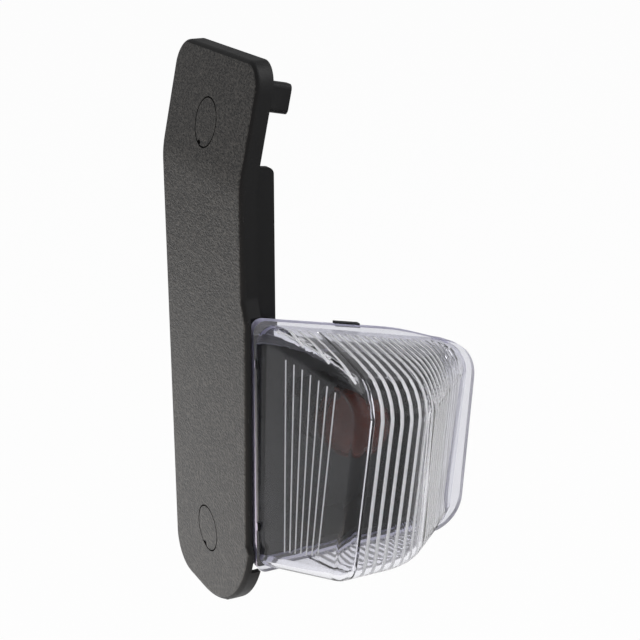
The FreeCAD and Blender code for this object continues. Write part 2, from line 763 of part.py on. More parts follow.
def side_flutes():
    """Thin ridges inside the left wall of the lens."""
    along = lens_left_way()
    inward = Vector(-along.y, along.x, 0)
    start = Vector(LENS_LEFT_X, lens_face_y(), 0) + inward * LENS_WALL
    fall = math.tan(math.radians(LENS_ROOF_FALL_DEG))
    floor = math.tan(math.radians(LENS_FLOOR_DEG))
    slant = lens_slant()
    margin = LENS_LEFT_R + LENS_WALL
    flutes = []
    for i in range(SIDE_FLUTE_COUNT):
        middle = start + along * (SIDE_FLUTE_FIRST + i * SIDE_FLUTE_PITCH)
        ahead = LENS_RIM_Y - middle.y
        arch = LENS_ROOF_R - math.sqrt(LENS_ROOF_R ** 2 - ahead ** 2)
        high = LENS_TOP_LEFT_Z - fall * (middle.x - LENS_LEFT_X) - arch - margin
        low = LENS_BOTTOM_Z + floor * ahead + margin
        rise = Vector(slant.x, slant.y, 0) * ((i + 1) / SIDE_FLUTE_COUNT) + Z_AXIS
        foot = middle + rise * (low - LENS_CONTOUR_Z) + Z_AXIS * LENS_CONTOUR_Z
        half = along * (SIDE_FLUTE_BASE / 2)
        sunk = inward * -SIDE_FLUTE_ROOT
        crest = inward * SIDE_FLUTE_HEIGHT
        corners = [foot - half + sunk, foot + half + sunk, foot + half, foot + crest, foot - half]
        wire = Part.makePolygon(corners + corners[:1])
        flutes.append(Part.Face(wire).extrude(rise * (high - low)))
    return flutes


def lens():
    """Clear lens with a flange, a frame behind it, two nubs and the flutes inside."""
    plate = lens_flange(0)
    flange = plate.extrude(Y_AXIS * -LENS_FLANGE_THICK)
    frame = plate.extrude(Y_AXIS * LENS_FRAME)
    nubs = []
    for z in NUB_HEIGHTS:
        place = Vector(LENS_LEFT_X - LENS_EDGE_FLANGE, lens_face_y() - NUB_OUT, z - NUB_LENGTH / 2)
        nubs.append(Part.makeBox(NUB_WIDTH, NUB_OUT, NUB_LENGTH, place))
    window = housing_outline(-HOUSING_OVERLAP, LENS_RIM_Y).extrude(Y_AXIS * LENS_FRAME)
    body = rounded_lens_body(0).fuse([flange, frame] + nubs)
    body = body.cut([rounded_lens_body(LENS_WALL), window])
    return body.fuse(front_flutes() + side_flutes())


def housing_outline(grow, y):
    """Outline of the housing's rim at one depth, grown by a margin."""
    left = LENS_LEFT_X - LENS_EDGE_FLANGE - HOUSING_LIP
    low = LENS_BOTTOM_Z + HOUSING_LOW_RISE
    corners = [
        (left, low, HOUSING_LEFT_R),
        (HOUSING_LOW_X, low, HOUSING_R),
        (HOUSING_HIGH_X, LENS_TOP_LEFT_Z - HOUSING_HIGH_DROP, HOUSING_R),
        (HOUSING_STEP_X, LENS_TOP_LEFT_Z - HOUSING_STEP_DROP, HOUSING_R),
        (left, LENS_TOP_LEFT_Z - HOUSING_LEFT_DROP, HOUSING_LEFT_R),
    ]
    face = Part.Face(rounded_wire(corners, front_point))
    if grow != 0:
        face = face.makeOffset2D(grow)
    face.translate(Y_AXIS * y)
    return face


def lens_gasket():
    """Rubber seal in the groove of the housing's rim."""
    outer = housing_outline(-GASKET_INSET, HOUSING_Y)
    inner = housing_outline(-GASKET_INSET - GASKET_WIDTH, HOUSING_Y)
    return outer.cut(inner).extrude(Y_AXIS * GASKET_DEPTH)


def lens_clip():
    """Clip pushed over the top edge of the lens's frame."""
    x0, x1 = CLIP_X

    def bar(low, high, y0, y1):
        """Straight bar along the flange's edge between two distances outside it."""
        points = [
            front_point(x0, lens_top_z(x0) + LENS_EDGE_FLANGE + low),
            front_point(x1, lens_top_z(x1) + LENS_EDGE_FLANGE + low),
            front_point(x1, lens_top_z(x1) + LENS_EDGE_FLANGE + high),
            front_point(x0, lens_top_z(x0) + LENS_EDGE_FLANGE + high),
        ]
        return prism(Part.makePolygon(points + points[:1]), Y_AXIS * y0, Y_AXIS * (y1 - y0))

    bridge = bar(0, CLIP_THICK, LENS_RIM_Y, HOUSING_Y + CLIP_THICK)
    hook = bar(-CLIP_REACH, 0, HOUSING_Y, HOUSING_Y + CLIP_THICK)
    return bridge.fuse(hook)


def pocket_wire(bounds, grow, y):
    """Rounded rectangle of the housing's pocket at one depth."""
    x0, z0, x1, z1 = bounds
    radius = POCKET_R + grow
    corners = [
        (x0 - grow, z0 - grow, radius),
        (x1 + grow, z0 - grow, radius),
        (x1 + grow, z1 + grow, radius),
        (x0 - grow, z1 + grow, radius),
    ]
    wire = rounded_wire(corners, front_point)
    wire.translate(Y_AXIS * y)
    return wire


def pocket(grow):
    """Tapered pocket of the housing, or its outside."""
    mouth = pocket_wire(POCKET_MOUTH, grow, HOUSING_Y)
    back = pocket_wire(POCKET_BACK, grow, POCKET_Y + grow)
    return Part.makeLoft([mouth, back], True, True)


def lamp_housing():
    """Black tray behind the lens: rim, pocket, screw posts and holder hole."""
    rim = housing_outline(0, HOUSING_Y).extrude(Y_AXIS * HOUSING_RIM)
    added = [pocket(POCKET_WALL)]
    pilots = []
    for z in POST_HEIGHTS:
        post_length = FLANGE_THICK - POST_CLEARANCE
        added.append(Part.makeCylinder(POST_R, post_length, Vector(POST_X, FLANGE_Y, z), Y_AXIS))
        start = FLANGE_Y + FLANGE_THICK - SCREW_SHANK_LENGTH - FIT_GAP
        pilots.append(Part.makeCylinder(POST_PILOT_R, FAR / 4, Vector(POST_X, start, z), Y_AXIS))
    body = rim.fuse(added)

    axis = Vector(BULB_X, POCKET_Y - 1, BULB_Z)
    hole = Part.makeCylinder(HOLDER_R + FIT_GAP, POCKET_WALL + 2, axis, Y_AXIS)
    keys = [turned_lug(i, LUG_R + FIT_GAP, LUG_WIDTH + 2 * FIT_GAP, POCKET_Y - 1, POCKET_WALL + 2, 0)
            for i in range(LUG_COUNT)]
    return body.cut([pocket(0), lens_gasket(), hole] + keys + pilots)


def turned_lug(index, reach, width, y, length, twist):
    """Bar from the bulb axis outward, one of a ring of LUG_COUNT, turned by twist degrees."""
    bar = Part.makeBox(reach, length, width, Vector(BULB_X, y, BULB_Z - width / 2))
    round_end = Part.makeCylinder(reach, length, Vector(BULB_X, y, BULB_Z), Y_AXIS)
    bar.rotate(Vector(BULB_X, y, BULB_Z), Y_AXIS, twist + index * 360 / LUG_COUNT)
    return bar.common(round_end)


def barrel(radius, y0, y1):
    """Cylinder on the bulb axis between two depths."""
    return Part.makeCylinder(radius, y1 - y0, Vector(BULB_X, y0, BULB_Z), Y_AXIS)


def pin_slot(reach, width, y0, y1):
    """Bar across the bulb axis that clears the bayonet pins."""
    place = Vector(BULB_X - reach, y0, BULB_Z - width / 2)
    return Part.makeBox(2 * reach, y1 - y0, width, place)


def housing_screws():
    """Pan-head screws from behind the bracket's flange into the housing's posts."""
    screws = []
    seat = FLANGE_Y + FLANGE_THICK
    top = seat + SCREW_HEAD_THICK
    for z in POST_HEIGHTS:
        head = Part.makeCylinder(SCREW_HEAD_R, SCREW_HEAD_THICK, Vector(POST_X, seat, z), Y_AXIS)
        start = Vector(POST_X, seat - SCREW_SHANK_LENGTH, z)
        shank = Part.makeCylinder(SCREW_SHANK_R, SCREW_SHANK_LENGTH, start, Y_AXIS)
        for long_x in (True, False):
            size_x = SCREW_CROSS_LENGTH if long_x else SCREW_CROSS_WIDTH
            size_z = SCREW_CROSS_WIDTH if long_x else SCREW_CROSS_LENGTH
            place = Vector(POST_X - size_x / 2, top - SCREW_CROSS_DEPTH, z - size_z / 2)
            head = head.cut(Part.makeBox(size_x, SCREW_CROSS_DEPTH, size_z, place))
        screws.append(head.fuse(shank))
    return Part.makeCompound(screws)


def bulb_holder():
    """Twist-in holder: barrel, lugs, flange, grips, bore and terminal slots."""
    body = barrel(HOLDER_R, HOLDER_FRONT_Y, HOLDER_Y).fuse([
        barrel(HOLDER_FLANGE_R, HOLDER_Y, HOLDER_REAR_Y),
        barrel(HOLDER_REAR_R, HOLDER_REAR_Y, HOLDER_END_Y),
    ])
    lug_y = POCKET_Y - FIT_GAP - LUG_THICK
    lugs = [turned_lug(i, LUG_R, LUG_WIDTH, lug_y, LUG_THICK, 180 / LUG_COUNT) for i in range(LUG_COUNT)]
    grip_place = Vector(BULB_X - GRIP_THICK / 2, HOLDER_REAR_Y, BULB_Z - GRIP_REACH)
    grip = Part.makeBox(GRIP_THICK, GRIP_LENGTH, 2 * GRIP_REACH, grip_place)
    body = body.fuse(lugs + [grip])
    chamber_end = HOLDER_END_Y - HOLDER_END_WALL
    hollow = [
        barrel(HOLDER_BORE_R, HOLDER_FRONT_Y, LEDGE_Y),
        barrel(HOLDER_CHAMBER_R, LEDGE_Y, chamber_end),
        pin_slot(BULB_PIN_REACH + FIT_GAP, BULB_PIN_SLOT, HOLDER_FRONT_Y, pin_y() + BULB_PIN_SLOT / 2),
    ]
    slot_x = BLADE_THICK + 2 * BLADE_SLOT_GAP
    slot_z = BLADE_WIDTH + 2 * BLADE_SLOT_GAP
    for side in (-1, 1):
        place = Vector(BULB_X + side * BLADE_X - slot_x / 2, chamber_end, BULB_Z - slot_z / 2)
        hollow.append(Part.makeBox(slot_x, HOLDER_END_WALL, slot_z, place))
    return body.cut(hollow)


def pin_y():
    """Depth of the bayonet pins."""
    return BULB_CAP_Y - BULB_PIN_BACK


def holder_seal():
    """Flat rubber ring between the holder's flange and the housing."""
    inner = LUG_R - SEAL_WIDTH + FIT_GAP
    return barrel(LUG_R + FIT_GAP + SEAL_WIDTH / 2, SEAL_Y, HOLDER_Y).cut(barrel(inner, SEAL_Y, HOLDER_Y))


def socket_shell():
    """Sheet-metal bayonet sleeve with slots for the pins."""
    tube = barrel(SHELL_R, HOLDER_FRONT_Y, LEDGE_Y)
    inside = barrel(SHELL_R - SHELL_WALL, HOLDER_FRONT_Y, LEDGE_Y - SHELL_FLOOR)
    slot = pin_slot(SHELL_R, BULB_PIN_SLOT, HOLDER_FRONT_Y, pin_y() + BULB_PIN_SLOT / 2)
    return tube.cut([inside, slot, barrel(SHELL_FLOOR_R, LEDGE_Y - SHELL_FLOOR, LEDGE_Y)])


def bulb_cap():
    """Bayonet cap of the bulb with its two pins."""
    front = BULB_CAP_Y - BULB_CAP_LENGTH
    tube = barrel(BULB_CAP_R, front, BULB_CAP_Y)
    pin_place = Vector(BULB_X - BULB_PIN_REACH, pin_y(), BULB_Z)
    pins = Part.makeCylinder(BULB_PIN_R, 2 * BULB_PIN_REACH, pin_place, X_AXIS)
    inside = barrel(BULB_CAP_R - BULB_CAP_WALL, front, BULB_CAP_Y)
    return tube.fuse(pins).cut(inside)


def bulb_insulator():
    """Glass disc that closes the bulb's cap."""
    return barrel(BULB_CAP_R, BULB_CAP_Y, INSULATOR_Y)


def bulb_contact():
    """Solder contact in the middle of the bulb's base."""
    return barrel(CONTACT_R, INSULATOR_Y, CONTACT_Y)


def bulb_glass():
    """Amber bulb: a ball with a neck that stands in the cap, turned from one profile."""
    neck_end = BULB_CAP_Y - BULB_CAP_LENGTH + BULB_NECK_LENGTH
    centre = neck_end - BULB_BALL_AHEAD
    last = math.pi - math.asin(BULB_NECK_R / BULB_BALL_R)
    profile = []
    for i in range(BULB_BALL_STEPS + 1):
        angle = last * i / BULB_BALL_STEPS
        across = BULB_BALL_R * math.sin(angle)
        profile.append(Vector(BULB_X + across, centre - BULB_BALL_R * math.cos(angle), BULB_Z))
    profile.append(Vector(BULB_X + BULB_NECK_R, neck_end, BULB_Z))
    profile.append(Vector(BULB_X, neck_end, BULB_Z))
    face = Part.Face(Part.makePolygon(profile + profile[:1]))
    return face.revolve(Vector(BULB_X, 0, BULB_Z), Y_AXIS, 360)


def blade(side):
    """Spade terminal through the holder's end wall."""
    root = HOLDER_END_Y - HOLDER_END_WALL - BLADE_ROOT
    place = Vector(BULB_X + side * BLADE_X - BLADE_THICK / 2, root, BULB_Z - BLADE_WIDTH / 2)
    return Part.makeBox(BLADE_THICK, HOLDER_END_Y + BLADE_OUT - root, BLADE_WIDTH, place)


def live_terminal():
    """Spade terminal with a leaf that presses on the bulb's contact."""
    root = HOLDER_END_Y - HOLDER_END_WALL - BLADE_ROOT
    inner_x = BLADE_X - BLADE_THICK / 2
    outer_x = BLADE_X + BLADE_THICK / 2
    profile = [
        plan_point(inner_x, root),
        plan_point(outer_x, root),
        plan_point(LEAF_REACH + LEAF_THICK, CONTACT_Y),
        plan_point(-LEAF_REACH, CONTACT_Y),
        plan_point(-LEAF_REACH, CONTACT_Y + LEAF_THICK),
        plan_point(LEAF_REACH, CONTACT_Y + LEAF_THICK),
    ]
    wire = Part.makePolygon(profile + profile[:1])
    start = Vector(BULB_X, 0, BULB_Z - LEAF_WIDTH / 2)
    return blade(1).fuse(prism(wire, start, Z_AXIS * LEAF_WIDTH))


def earth_terminal():
    """Spade terminal with a leg that bears on the bayonet sleeve."""
    root = HOLDER_END_Y - HOLDER_END_WALL - BLADE_ROOT
    half = EARTH_LEG_WIDTH / 2
    corner = Vector(BULB_X - EARTH_LEG_X, 0, BULB_Z - half)
    step = Part.makeBox(
        EARTH_LEG_X - BLADE_X + BLADE_THICK / 2, EARTH_LEG_THICK, EARTH_LEG_WIDTH, corner + Y_AXIS * root
    )
    leg = Part.makeBox(
        EARTH_LEG_THICK, root + EARTH_LEG_THICK - LEDGE_Y, EARTH_LEG_WIDTH, corner + Y_AXIS * LEDGE_Y
    )
    return blade(-1).fuse([step, leg])


PARTS = {
    "bracket": bracket,
    "lower_screw_cap": screw_cap,
    "upper_screw_cap": lambda: at_upper_screw(screw_cap()),
    "lamp_housing": lamp_housing,
    "lens": lens,
    "lens_clip": lens_clip,
    "lens_gasket": lens_gasket,
    "housing_screws": housing_screws,
    "bulb_holder": bulb_holder,
    "holder_seal": holder_seal,
    "socket_shell": socket_shell,
    "bulb_glass": bulb_glass,
    "bulb_cap": bulb_cap,
    "bulb_insulator": bulb_insulator,
    "bulb_contact": bulb_contact,
    "live_terminal": live_terminal,
    "earth_terminal": earth_terminal,
}


def main():
    """Build every piece and write one file for each."""
    os.makedirs("parts", exist_ok=True)
    for name, build in PARTS.items():
        shape = build()
        print(name, len(shape.Solids), round(shape.Volume), shape.isValid())
        shape.exportStep(os.path.join("parts", name + ".step"))


main()
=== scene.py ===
"""Looks of a corner side marker lamp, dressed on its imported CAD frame.

A grained bracket plate leans inboard at its top, a black housing stands square
to it, and a clear lens with flutes moulded inside closes over an amber bulb.
Sizes are in metres in the row frame: X inboard, Y rearward, Z up.
"""
import logging
import math
from dataclasses import dataclass
from enum import Enum, IntEnum
from typing import Any

import bmesh
import bpy
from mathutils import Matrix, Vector


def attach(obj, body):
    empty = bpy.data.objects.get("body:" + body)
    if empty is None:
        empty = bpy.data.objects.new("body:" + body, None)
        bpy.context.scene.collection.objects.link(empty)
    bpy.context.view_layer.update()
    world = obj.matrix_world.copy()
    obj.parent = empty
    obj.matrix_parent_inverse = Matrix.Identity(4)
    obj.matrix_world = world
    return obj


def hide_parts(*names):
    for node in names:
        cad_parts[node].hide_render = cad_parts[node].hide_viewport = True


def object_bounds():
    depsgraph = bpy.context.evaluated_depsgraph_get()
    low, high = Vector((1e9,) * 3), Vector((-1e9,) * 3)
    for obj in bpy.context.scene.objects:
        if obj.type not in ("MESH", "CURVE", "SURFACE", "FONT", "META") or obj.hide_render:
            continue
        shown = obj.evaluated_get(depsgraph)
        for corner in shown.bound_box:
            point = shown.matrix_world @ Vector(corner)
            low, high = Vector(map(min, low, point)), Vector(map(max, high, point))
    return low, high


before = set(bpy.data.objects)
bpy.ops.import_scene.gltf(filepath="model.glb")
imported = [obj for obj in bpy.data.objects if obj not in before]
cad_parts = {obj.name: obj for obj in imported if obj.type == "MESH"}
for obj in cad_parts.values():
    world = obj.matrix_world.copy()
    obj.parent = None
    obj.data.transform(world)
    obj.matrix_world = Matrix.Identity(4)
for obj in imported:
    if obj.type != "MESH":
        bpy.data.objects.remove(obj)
CAD_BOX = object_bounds()

LOG = logging.getLogger("side_marker_lamp")
MM = 0.001
ROOT_BODY = "root"
WHITE = "ffffff"

# Copies of CAD nodes: points nearer than this merge, faces flatter than this join
MERGE_MM = 0.002
FLAT_DEG = 0.2
FLAT_WEIGHT = 50


class Slot(Enum):
    """Names of material slots, listed beside the finishes; no piece is given one."""

    GRAINED = "grained_plastic"
    CAP = "cap_plastic"
    HOUSING = "housing_plastic"
    LENS = "clear_plastic"
    SEAL = "seal_rubber"
    SCREW = "zinc_steel"
    HOLDER = "holder_plastic"
    SHELL = "plated_steel"
    BULB = "amber_glass"
    CAP_METAL = "nickel_brass"
    INSULATOR = "black_glass"
    SOLDER = "solder"
    TERMINAL = "tinned_brass"


class PlateFace(IntEnum):
    """Order of the finishes on the bracket and its caps."""

    GRAINED = 0
    SMOOTH = 1


class LensFace(IntEnum):
    """Order of the finishes on the lens."""

    CLEAR = 0
    FLUTE = 1
    RIM_VEIL = 2
    FLANGE = 3


def linear(code: str) -> tuple[float, float, float, float]:
    """Turn an sRGB hex colour into linear light.

    Args:
        code: six hex digits, such as "3a3b3d".

    Returns:
        Linear red, green, blue and an alpha of 1.
    """
    values = []
    for i in range(0, 6, 2):
        part = int(code[i:i + 2], 16) / 255
        if part <= 0.04045:
            values.append(part / 12.92)
        else:
            values.append(((part + 0.055) / 1.055) ** 2.4)
    return (values[0], values[1], values[2], 1.0)


def add_node(
    tree: bpy.types.NodeTree,
    kind: str,
    inputs: dict[str | int, Any] | None = None,
    **settings: Any,
) -> bpy.types.Node:
    """Add a node with its settings, socket values and links.

    Args:
        tree: node tree that gets the node.
        kind: Blender's name of the node type.
        inputs: socket name or number to a value, or to an output socket to link.
        settings: attributes of the node.

    Returns:
        The new node.
    """
    node = tree.nodes.new(kind)
    for name, value in settings.items():
        setattr(node, name, value)
    for key, value in (inputs or {}).items():
        socket = node.inputs[key]
        if isinstance(value, bpy.types.NodeSocket):
            tree.links.new(value, socket)
        else:
            socket.default_value = value
    return node


def pattern_scale(size_mm: float) -> float:
    """Scale of a pattern whose features are size_mm wide."""
    return 1 / (size_mm * MM)


def new_material(name: str) -> tuple[bpy.types.Material, bpy.types.NodeTree]:
    """Make an empty node material.

    Args:
        name: name of the real material.

    Returns:
        The material and its node tree.
    """
    material = bpy.data.materials.new(name)
    material.use_nodes = True
    material.node_tree.nodes.clear()
    return material, material.node_tree


def close_material(tree: bpy.types.NodeTree, shader: bpy.types.Node) -> None:
    """Join a shader to the material's output."""
    add_node(tree, "ShaderNodeOutputMaterial", {"Surface": shader.outputs[0]})


@dataclass(frozen=True)
class GrainedPolypropylene:
    """Moulded black polypropylene with a spark-eroded grain; the light specks on the grain's peaks
    are painted sheen.
    """

    name: str = "grained polypropylene"
    dark: str = "0f0f10"
    # dark is the plastic's own colour; light is painted sheen, given to the grain's peaks
    light: str = "383838"
    # Drawn coarser than a usual grain of about 0.3 mm, because that is too fine to show
    grain_mm: float = 0.7
    fine_mm: float = 0.4
    fine_detail: float = 2.0
    stretch: float = 0.5
    glint_low: float = 0.65
    glint_high: float = 1.25
    roughness: float = 0.34
    ior: float = 1.49
    specular: float = 0.34
    bump: float = 1.0
    depth_mm: float = 0.17

    def build(self) -> bpy.types.Material:
        """Build the material from coarse grain cells, longer across the plate, with a fine noise.

        Returns:
            The finished material.
        """
        material, tree = new_material(self.name)
        place = add_node(tree, "ShaderNodeTexCoord")
        drawn = add_node(
            tree, "ShaderNodeMapping",
            {"Vector": place.outputs["Object"], "Scale": (1.0, self.stretch, 1.0)},
        )
        cells = add_node(
            tree, "ShaderNodeTexVoronoi",
            {"Vector": drawn.outputs[0], "Scale": pattern_scale(self.grain_mm)},
            feature="SMOOTH_F1",
        )
        fine = add_node(
            tree, "ShaderNodeTexNoise",
            {"Vector": drawn.outputs[0], "Scale": pattern_scale(self.fine_mm),
             "Detail": self.fine_detail},
        )
        height = add_node(
            tree, "ShaderNodeMath", {0: cells.outputs["Distance"], 1: fine.outputs["Fac"]},
            operation="ADD",
        )
        bump = add_node(
            tree, "ShaderNodeBump",
            {"Strength": self.bump, "Distance": self.depth_mm * MM, "Height": height.outputs[0]},
        )
        # Painted sheen: the grain's peaks are coloured lighter, as glints
        painted_glints = add_node(
            tree, "ShaderNodeMapRange",
            {0: height.outputs[0], 1: self.glint_low, 2: self.glint_high, 3: 0.0, 4: 1.0},
        )
        tone = add_node(
            tree, "ShaderNodeMixRGB",
            {0: painted_glints.outputs[0], 1: linear(self.dark), 2: linear(self.light)},
        )
        shader = add_node(
            tree, "ShaderNodeBsdfPrincipled",
            {"Base Color": tone.outputs[0], "Roughness": self.roughness, "IOR": self.ior,
             "Specular IOR Level": self.specular, "Normal": bump.outputs[0]},
        )
        close_material(tree, shader)
        return material


@dataclass(frozen=True)
class SmoothPlastic:
    """Moulded plastic or rubber: an even colour whose gloss drifts with the mould's polish."""

    name: str
    colour: str
    roughness: float = 0.35
    spread: float = 0.08
    mark_mm: float = 4.0
    detail: float = 3.0
    ior: float = 1.5
    specular: float = 0.5

    def build(self) -> bpy.types.Material:
        """Build the material with a slow drift of roughness.

        Returns:
            The finished material.
        """
        material, tree = new_material(self.name)
        place = add_node(tree, "ShaderNodeTexCoord")
        drift = add_node(
            tree, "ShaderNodeTexNoise",
            {"Vector": place.outputs["Object"], "Scale": pattern_scale(self.mark_mm),
             "Detail": self.detail},
        )
        rough = add_node(
            tree, "ShaderNodeMapRange",
            {0: drift.outputs["Fac"], 3: self.roughness - self.spread,
             4: self.roughness + self.spread},
        )
        shader = add_node(
            tree, "ShaderNodeBsdfPrincipled",
            {"Base Color": linear(self.colour), "Roughness": rough.outputs[0], "IOR": self.ior,
             "Specular IOR Level": self.specular},
        )
        close_material(tree, shader)
        return material


@dataclass(frozen=True)
class ClearAcrylic:
    """Clear moulded acrylic: polished walls show what is behind; matt white flutes are painted
    highlight, standing in for the light that clear flutes refract.

    The melt's flow leaves its tint and its polish a little uneven. The mirror is the tint of
    its reflections, set below white so that they don't veil the dark tray.
    """

    name: str = "clear acrylic"
    colour: str = "f8f8fd"
    roughness: float = 0.0
    spread: float = 0.03
    ior: float = 1.49
    transmission: float = 1.0
    mirror: str = "a4a4a4"
    flow_mm: float = 9.0
    flow_detail: float = 2.0
    flow_shade: float = 0.96

    def build(self) -> bpy.types.Material:
        """Build the acrylic, clear or partly matt, with the marks of its flow.

        Returns:
            The finished material.
        """
        material, tree = new_material(self.name)
        place = add_node(tree, "ShaderNodeTexCoord")
        flow = add_node(
            tree, "ShaderNodeTexNoise",
            {"Vector": place.outputs["Object"], "Scale": pattern_scale(self.flow_mm),
             "Detail": self.flow_detail},
        )
        red, green, blue, alpha = linear(self.colour)
        shade = self.flow_shade
        tone = add_node(
            tree, "ShaderNodeMixRGB",
            {0: flow.outputs["Fac"], 1: (red, green, blue, alpha),
             2: (red * shade, green * shade, blue * shade, alpha)},
        )
        rough = add_node(
            tree, "ShaderNodeMapRange",
            {0: flow.outputs["Fac"], 3: self.roughness, 4: self.roughness + self.spread},
        )
        shader = add_node(
            tree, "ShaderNodeBsdfPrincipled",
            {"Base Color": tone.outputs[0], "Roughness": rough.outputs[0], "IOR": self.ior,
             "Transmission Weight": self.transmission, "Specular Tint": linear(self.mirror)},
        )
        close_material(tree, shader)
        return material


@dataclass(frozen=True)
class AmberGlass:
    """Bulb glass with a baked amber lacquer: a dull dark red, uneven where it was dipped."""

    name: str = "amber lacquered glass"
    deep: str = "2a0b04"
    pale: str = "54200e"
    roughness: float = 0.25
    ior: float = 1.5
    specular: float = 0.12
    transmission: float = 0.1
    run_mm: float = 6.0
    run_detail: float = 2.0

    def build(self) -> bpy.types.Material:
        """Build the amber glass with the runs of its lacquer.

        Returns:
            The finished material.
        """
        material, tree = new_material(self.name)
        place = add_node(tree, "ShaderNodeTexCoord")
        runs = add_node(
            tree, "ShaderNodeTexNoise",
            {"Vector": place.outputs["Object"], "Scale": pattern_scale(self.run_mm),
             "Detail": self.run_detail},
        )
        tone = add_node(
            tree, "ShaderNodeMixRGB",
            {0: runs.outputs["Fac"], 1: linear(self.deep), 2: linear(self.pale)},
        )
        shader = add_node(
            tree, "ShaderNodeBsdfPrincipled",
            {"Base Color": tone.outputs[0], "Roughness": self.roughness, "IOR": self.ior,
             "Specular IOR Level": self.specular, "Transmission Weight": self.transmission},
        )
        close_material(tree, shader)
        return material


@dataclass(frozen=True)
class PlatedMetal:
    """Plated sheet or wire: bright, with fine drawing marks in its gloss."""

    name: str
    colour: str
    roughness: float = 0.25
    spread: float = 0.08
    # Drawn coarser than real drawing marks, which are too fine to show
    mark_mm: float = 0.6
    mark_detail: float = 4.0

    def build(self) -> bpy.types.Material:
        """Build the metal with its drawing marks.

        Returns:
            The finished material.
        """
        material, tree = new_material(self.name)
        place = add_node(tree, "ShaderNodeTexCoord")
        marks = add_node(
            tree, "ShaderNodeTexNoise",
            {"Vector": place.outputs["Object"], "Scale": pattern_scale(self.mark_mm),
             "Detail": self.mark_detail},
        )
        rough = add_node(
            tree, "ShaderNodeMapRange",
            {0: marks.outputs["Fac"], 3: self.roughness - self.spread,
             4: self.roughness + self.spread},
        )
        shader = add_node(
            tree, "ShaderNodeBsdfPrincipled",
            {"Base Color": linear(self.colour), "Roughness": rough.outputs[0], "Metallic": 1.0},
        )
        close_material(tree, shader)
        return material


def place_object(name: str, data: bpy.types.ID) -> bpy.types.Object:
    """Make an object and link it to the scene.

    Args:
        name: name of the object.
        data: its mesh, lamp or camera.

    Returns:
        The new object.
    """
    made = bpy.data.objects.new(name, data)
    bpy.context.scene.collection.objects.link(made)
    return made


def make_plain(piece: bpy.types.Object) -> None:
    """Turn a piece with modifiers into a plain mesh without them.

    Args:
        piece: piece that keeps the result of its modifiers.
    """
    graph = bpy.context.evaluated_depsgraph_get()
    plain = bpy.data.meshes.new_from_object(piece.evaluated_get(graph))
    piece.modifiers.clear()
    piece.data = plain


def stand_in(piece: bpy.types.Object, node: str) -> None:
    """Let a plain piece ride on the body and take the place of a CAD node.

    Args:
        piece: dressed piece.
        node: name of the CAD node.
    """
    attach(piece, ROOT_BODY)
    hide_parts(node)
    LOG.info("dressed %s, %d faces", node, len(piece.data.polygons))


def smooth_copy(
    node: str, material: bpy.types.Material, angle_deg: float,
) -> bpy.types.Object:
    """Stand a merged copy in for a CAD node, shaded smooth with flat faces kept flat.

    Args:
        node: name of the CAD node.
        material: finish of the copy.
        angle_deg: edges sharper than this stay sharp.

    Returns:
        The new piece.
    """
    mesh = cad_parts[node].data.copy()
    merged = bmesh.new()
    merged.from_mesh(mesh)
    bmesh.ops.remove_doubles(merged, verts=merged.verts, dist=MERGE_MM * MM)
    bmesh.ops.dissolve_limit(
        merged, angle_limit=math.radians(FLAT_DEG), verts=merged.verts, edges=merged.edges,
    )
    merged.to_mesh(mesh)
    merged.free()
    mesh.materials.clear()
    mesh.materials.append(material)
    mesh.shade_smooth()
    mesh.set_sharp_from_angle(angle=math.radians(angle_deg))
    piece = place_object(node + "_dressed", mesh)
    weighted = piece.modifiers.new("flat faces stay flat", "WEIGHTED_NORMAL")
    weighted.mode = "FACE_AREA"
    weighted.weight = FLAT_WEIGHT
    weighted.keep_sharp = True
    make_plain(piece)
    stand_in(piece, node)
    return piece


@dataclass
class BracketSet:
    """Bracket plate with the two caps over its screws."""

    sharp_deg: float = 25.0
    outer_limit: float = 0.88

    def dress(self) -> None:
        """Dress the outer faces in grained plastic and the edges and backs in smooth plastic."""
        grained = GrainedPolypropylene().build()
        cap = GrainedPolypropylene(name="grained cap plastic").build()
        smooth = SmoothPlastic(
            "smooth black polypropylene", "141415", roughness=0.45, specular=0.2,
        ).build()
        finishes = {
            "bracket": (grained, Slot.GRAINED),
            "lower_screw_cap": (cap, Slot.CAP),
            "upper_screw_cap": (cap, Slot.CAP),
        }
        for node, (outer, slot) in finishes.items():
            piece = smooth_copy(node, outer, self.sharp_deg)
            piece.data.materials.append(smooth)
            for face in piece.data.polygons:
                outside = face.normal.x < -self.outer_limit
                kind = PlateFace.GRAINED if outside else PlateFace.SMOOTH
                face.material_index = kind.value


